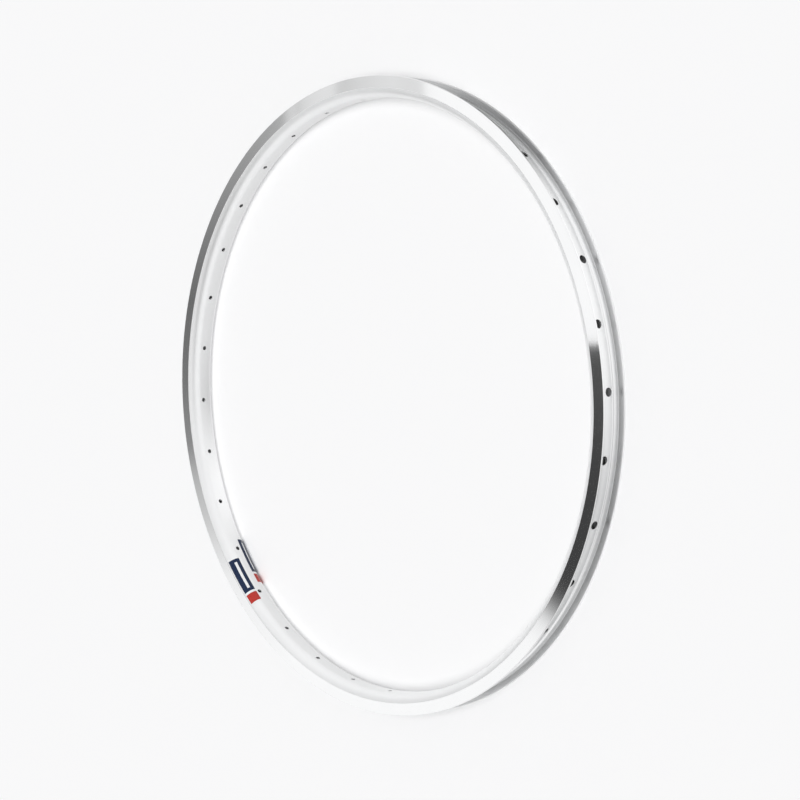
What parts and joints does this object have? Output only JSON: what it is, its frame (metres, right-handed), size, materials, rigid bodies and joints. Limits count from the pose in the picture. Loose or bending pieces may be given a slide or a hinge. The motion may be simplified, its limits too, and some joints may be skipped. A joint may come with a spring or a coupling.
{
  "type": "bicycle rim",
  "caption": "Double-wall bicycle rim with hooked flanges, flat brake tracks, staggered spoke holes and a valve hole, for a wheel laced with spokes.",
  "frame": {"origin": "centre of the rim, on the wheel's axis and in the rim's middle plane", "axes": "+Z along the wheel's axis, up as the rim lies flat; +X through the valve hole"},
  "size_m": [0.6349, 0.635, 0.029],
  "materials": {
    "rim_metal": "satin bed with bright machined brake tracks",
    "sticker_film": "glossy printed film"
  },
  "bodies": {
    "root": {"rim": "rim_metal", "sticker_upper": "sticker_film", "sticker_lower": "sticker_film"}
  },
  "joints": []
}
